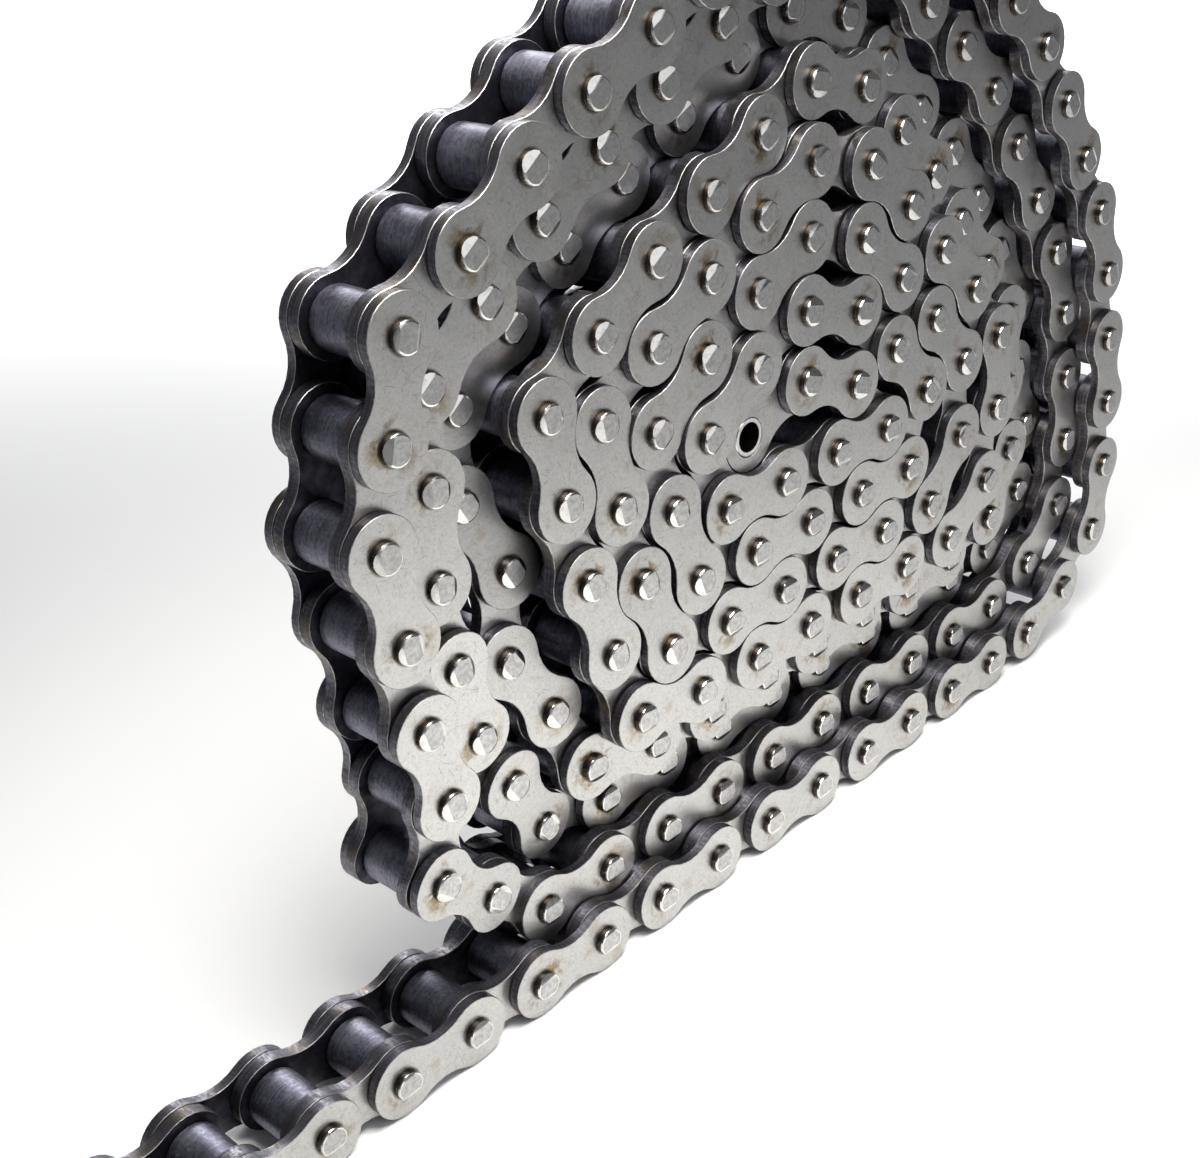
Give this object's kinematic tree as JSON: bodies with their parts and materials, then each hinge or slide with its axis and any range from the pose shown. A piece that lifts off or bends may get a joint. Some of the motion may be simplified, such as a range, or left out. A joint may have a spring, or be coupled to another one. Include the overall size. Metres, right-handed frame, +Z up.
{
  "type": "roller chain coil",
  "caption": "Length of single strand roller chain wound into a flat spiral that stands on edge, its outer end laid straight along the floor.",
  "frame": {"origin": "on the floor, under the middle of the coil's box", "axes": "+Z up; X along the straight outer end, which lies at -X; the flat sides of the coil face along Y, and the front as pictured faces -Y"},
  "size_m": [0.6005, 0.052, 0.2952],
  "materials": {
    "plate_steel": "satin",
    "roller_steel": "oiled"
  },
  "bodies": {
    "coil": {"inner_end_inner_link_2": "plate_steel", "inner_end_inner_link_4": "plate_steel", "inner_end_outer_link_1": "plate_steel", "inner_end_outer_link_3": "plate_steel", "inner_end_roller_2a": "roller_steel", "inner_end_roller_2b": "roller_steel", "inner_end_roller_4a": "roller_steel", "inner_end_roller_4b": "roller_steel", "lap_1": "plate_steel", "lap_1_joining_link": "plate_steel", "lap_2": "plate_steel", "lap_2_joining_link": "plate_steel", "lap_3": "plate_steel", "lap_3_joining_link": "plate_steel", "lap_4": "plate_steel", "lap_4_joining_link": "plate_steel", "lap_5": "plate_steel", "lap_5_joining_link": "plate_steel", "lap_6": "plate_steel", "lap_6_joining_link": "plate_steel", "lap_7": "plate_steel"},
    "tail_link_1": {"tail_inner_link_1": "plate_steel"},
    "tail_link_2": {"tail_outer_link_2": "plate_steel"},
    "tail_link_3": {"tail_inner_link_3": "plate_steel"},
    "tail_link_4": {"tail_outer_link_4": "plate_steel"},
    "tail_link_5": {"tail_inner_link_5": "plate_steel"},
    "tail_link_6": {"tail_outer_link_6": "plate_steel"},
    "roller_1a": {"tail_roller_1a": "roller_steel"},
    "roller_1b": {"tail_roller_1b": "roller_steel"},
    "roller_3a": {"tail_roller_3a": "roller_steel"},
    "roller_3b": {"tail_roller_3b": "roller_steel"},
    "roller_5a": {"tail_roller_5a": "roller_steel"},
    "roller_5b": {"tail_roller_5b": "roller_steel"}
  },
  "joints": [
    {"name": "tail_hinge_6", "type": "hinge", "parent": "coil", "child": "tail_link_6", "pos_m": [-0.13814, -0.008, 0.01035], "axis": [0, 1, 0], "range_deg": [0, 35]},
    {"name": "tail_hinge_5", "type": "hinge", "parent": "tail_link_6", "child": "tail_link_5", "pos_m": [-0.16354, -0.008, 0.01035], "axis": [0, 1, 0], "range_deg": [0, 35]},
    {"name": "tail_hinge_4", "type": "hinge", "parent": "tail_link_5", "child": "tail_link_4", "pos_m": [-0.18894, -0.008, 0.01035], "axis": [0, 1, 0], "range_deg": [0, 35]},
    {"name": "tail_hinge_3", "type": "hinge", "parent": "tail_link_4", "child": "tail_link_3", "pos_m": [-0.21434, -0.008, 0.01035], "axis": [0, 1, 0], "range_deg": [0, 35]},
    {"name": "tail_hinge_2", "type": "hinge", "parent": "tail_link_3", "child": "tail_link_2", "pos_m": [-0.23975, -0.008, 0.01035], "axis": [0, 1, 0], "range_deg": [0, 35]},
    {"name": "tail_hinge_1", "type": "hinge", "parent": "tail_link_2", "child": "tail_link_1", "pos_m": [-0.26515, -0.008, 0.01035], "axis": [0, 1, 0], "range_deg": [0, 35]},
    {"name": "roller_1a_spin", "type": "hinge", "parent": "tail_link_1", "child": "roller_1a", "pos_m": [-0.29055, -0.008, 0.01035], "axis": [0, 1, 0], "continuous": true},
    {"name": "roller_1b_spin", "type": "hinge", "parent": "tail_link_1", "child": "roller_1b", "pos_m": [-0.26515, -0.008, 0.01035], "axis": [0, 1, 0], "continuous": true},
    {"name": "roller_3a_spin", "type": "hinge", "parent": "tail_link_3", "child": "roller_3a", "pos_m": [-0.23975, -0.008, 0.01035], "axis": [0, 1, 0], "continuous": true},
    {"name": "roller_3b_spin", "type": "hinge", "parent": "tail_link_3", "child": "roller_3b", "pos_m": [-0.21434, -0.008, 0.01035], "axis": [0, 1, 0], "continuous": true},
    {"name": "roller_5a_spin", "type": "hinge", "parent": "tail_link_5", "child": "roller_5a", "pos_m": [-0.18894, -0.008, 0.01035], "axis": [0, 1, 0], "continuous": true},
    {"name": "roller_5b_spin", "type": "hinge", "parent": "tail_link_5", "child": "roller_5b", "pos_m": [-0.16354, -0.008, 0.01035], "axis": [0, 1, 0], "continuous": true}
  ]
}
